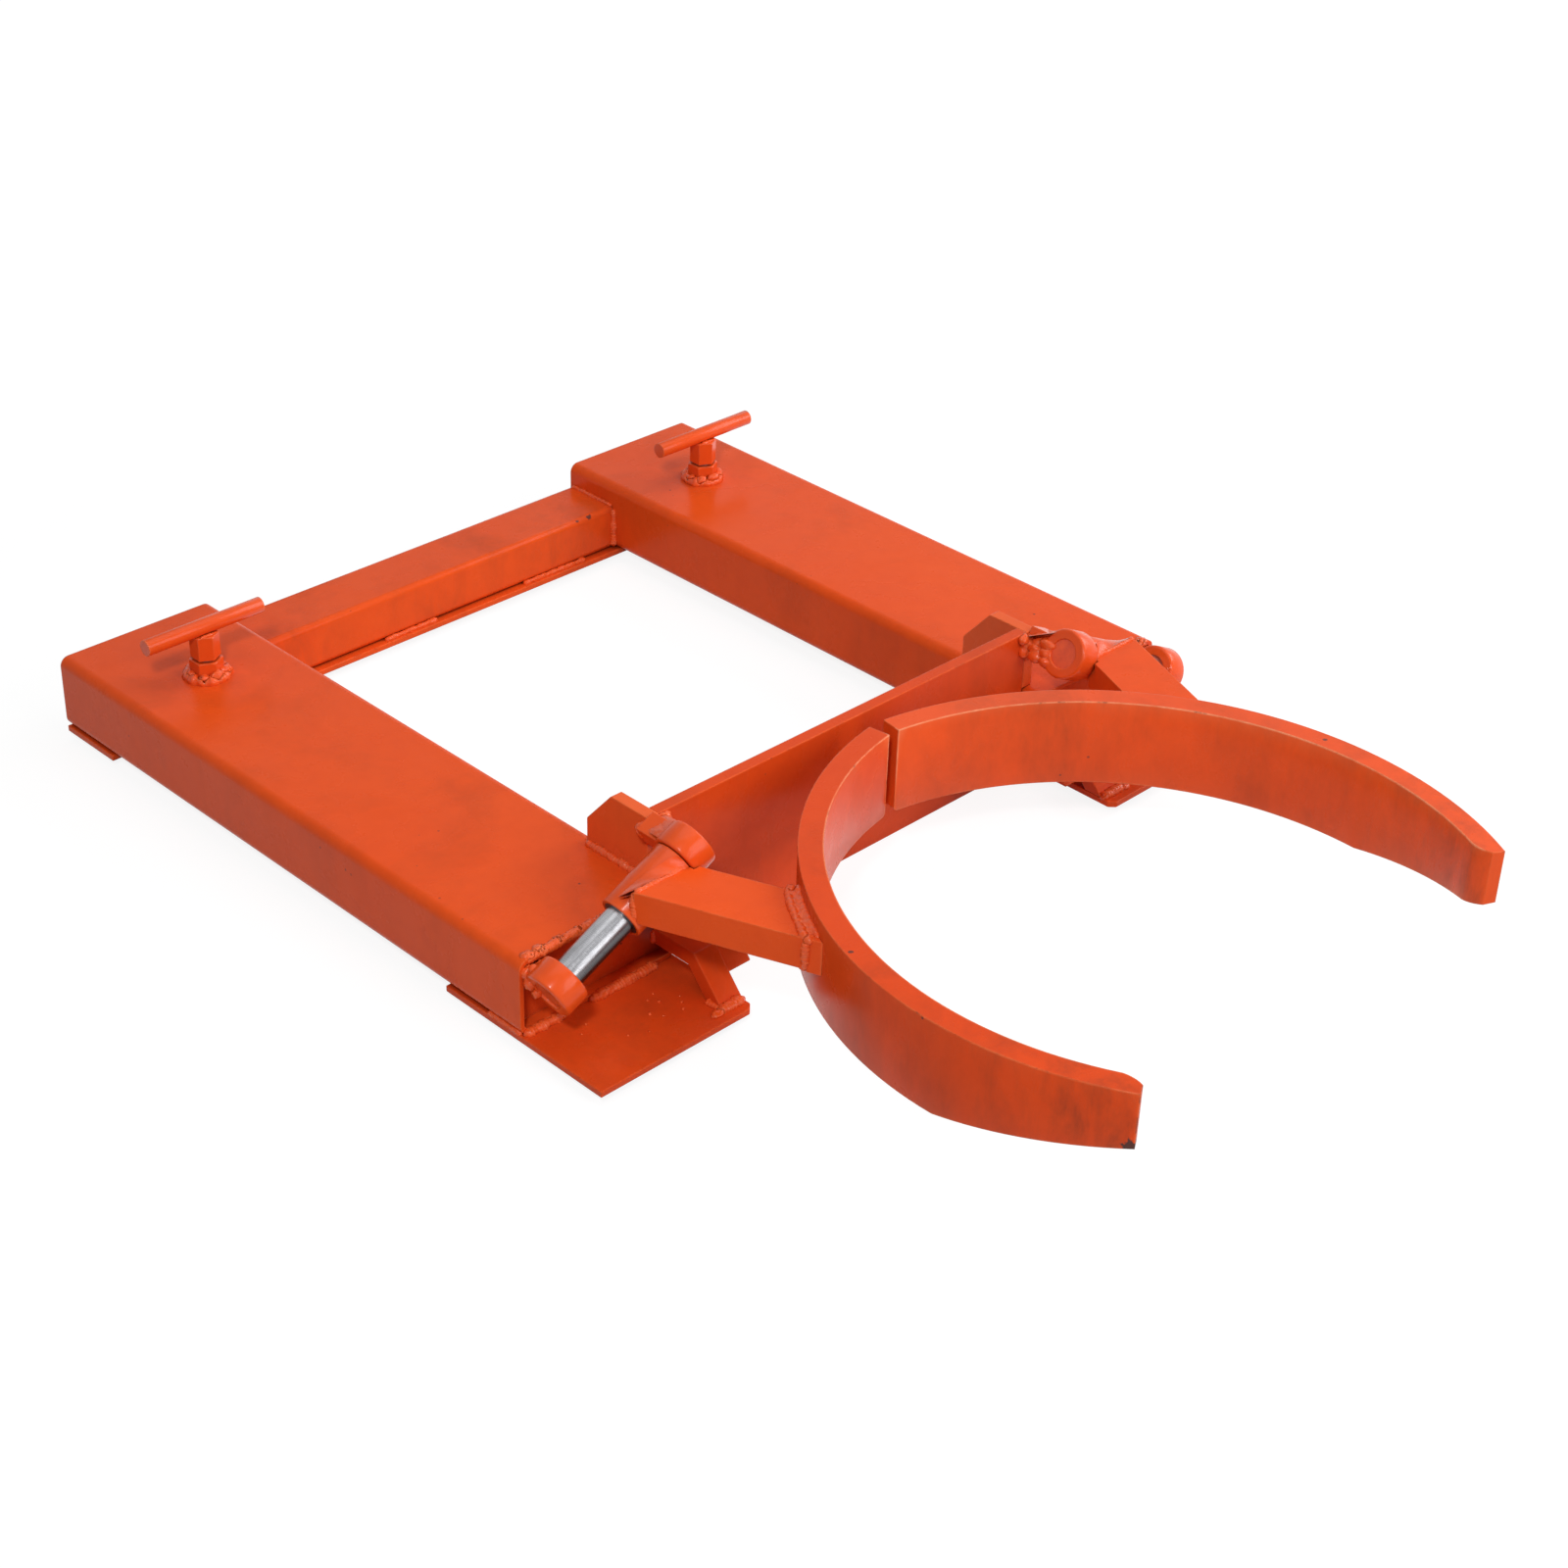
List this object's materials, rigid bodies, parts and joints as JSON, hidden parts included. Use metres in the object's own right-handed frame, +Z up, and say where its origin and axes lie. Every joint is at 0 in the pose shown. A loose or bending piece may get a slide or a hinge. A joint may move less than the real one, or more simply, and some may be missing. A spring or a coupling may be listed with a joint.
{
  "type": "drum lifting clamp",
  "caption": "Fork-mounted drum clamp: rectangular fork tubes with T-handle screws carry curved jaws that slide and swing on sloping hinge pins.",
  "frame": {"origin": "middle of the front cross plate's underside, which is the lowest face", "axes": "+X across the clamp to the right-hand fork tube, +Y back towards the lift truck, +Z up"},
  "size_m": [0.8434, 1.2131, 0.1722],
  "materials": {
    "orange_paint": "gloss orange paint over welded steel",
    "pin_steel": "ground bare steel, lightly greased",
    "bush_iron": "dark machined iron",
    "screw_steel": "plain steel screw"
  },
  "bodies": {
    "frame": {"left_fork_tube": "orange_paint", "right_fork_tube": "orange_paint", "left_end_plate": "orange_paint", "right_end_plate": "orange_paint", "left_base_plate": "orange_paint", "right_base_plate": "orange_paint", "left_brace": "orange_paint", "right_brace": "orange_paint", "left_brace_tab": "orange_paint", "right_brace_tab": "orange_paint", "left_ear_plate": "orange_paint", "right_ear_plate": "orange_paint", "front_cross_plate": "orange_paint", "rear_beam": "orange_paint", "rear_strap": "orange_paint", "left_weld_nut": "orange_paint", "right_weld_nut": "orange_paint", "left_outer_ring": "orange_paint", "right_outer_ring": "orange_paint", "left_inner_ring": "orange_paint", "right_inner_ring": "orange_paint", "left_hinge_pin": "pin_steel", "right_hinge_pin": "pin_steel"},
    "left_bush_slide": {"left_bush": "bush_iron"},
    "left_arm": {"left_sleeve": "orange_paint", "left_arm_bar": "orange_paint", "left_jaw_pad": "orange_paint", "left_jaw": "orange_paint"},
    "left_screw": {"left_clamp_screw": "screw_steel"},
    "left_handle": {"left_screw_head": "orange_paint", "left_tee_bar": "orange_paint"},
    "right_bush_slide": {"right_bush": "bush_iron"},
    "right_arm": {"right_sleeve": "orange_paint", "right_arm_bar": "orange_paint", "right_jaw_pad": "orange_paint", "right_jaw": "orange_paint"},
    "right_screw": {"right_clamp_screw": "screw_steel"},
    "right_handle": {"right_screw_head": "orange_paint", "right_tee_bar": "orange_paint"}
  },
  "joints": [
    {"name": "left_jaw_slide", "type": "slide", "parent": "frame", "child": "left_bush_slide", "axis": [-0.8957, 0, -0.4446], "range_m": [0, 0.0665]},
    {"name": "left_jaw_swing", "type": "hinge", "parent": "left_bush_slide", "child": "left_arm", "pos_m": [-0.24285, -0.05235, 0.151], "axis": [-0.8957, 0, -0.4446], "range_deg": [-8, 60]},
    {"name": "left_screw_travel", "type": "slide", "parent": "frame", "child": "left_screw", "axis": [0, 0, 1], "range_m": [-0.00191, 0.02794]},
    {"name": "left_handle_turn", "type": "hinge", "parent": "left_screw", "child": "left_handle", "pos_m": [-0.33175, 0.54515, 0.01], "axis": [0, 0, 1], "range_deg": [-270, 3960]},
    {"name": "right_jaw_slide", "type": "slide", "parent": "frame", "child": "right_bush_slide", "axis": [0.8957, 0, -0.4446], "range_m": [0, 0.0665]},
    {"name": "right_jaw_swing", "type": "hinge", "parent": "right_bush_slide", "child": "right_arm", "pos_m": [0.24285, -0.05235, 0.151], "axis": [-0.8957, 0, 0.4446], "range_deg": [-8, 60]},
    {"name": "right_screw_travel", "type": "slide", "parent": "frame", "child": "right_screw", "axis": [0, 0, 1], "range_m": [-0.00191, 0.02794]},
    {"name": "right_handle_turn", "type": "hinge", "parent": "right_screw", "child": "right_handle", "pos_m": [0.33175, 0.54515, 0.01], "axis": [0, 0, 1], "range_deg": [-270, 3960]}
  ],
  "couplings": [
    {"joint": "left_screw_travel", "follows": "left_handle_turn", "m_per_rad": 0.00040425},
    {"joint": "right_screw_travel", "follows": "right_handle_turn", "m_per_rad": 0.00040425}
  ]
}
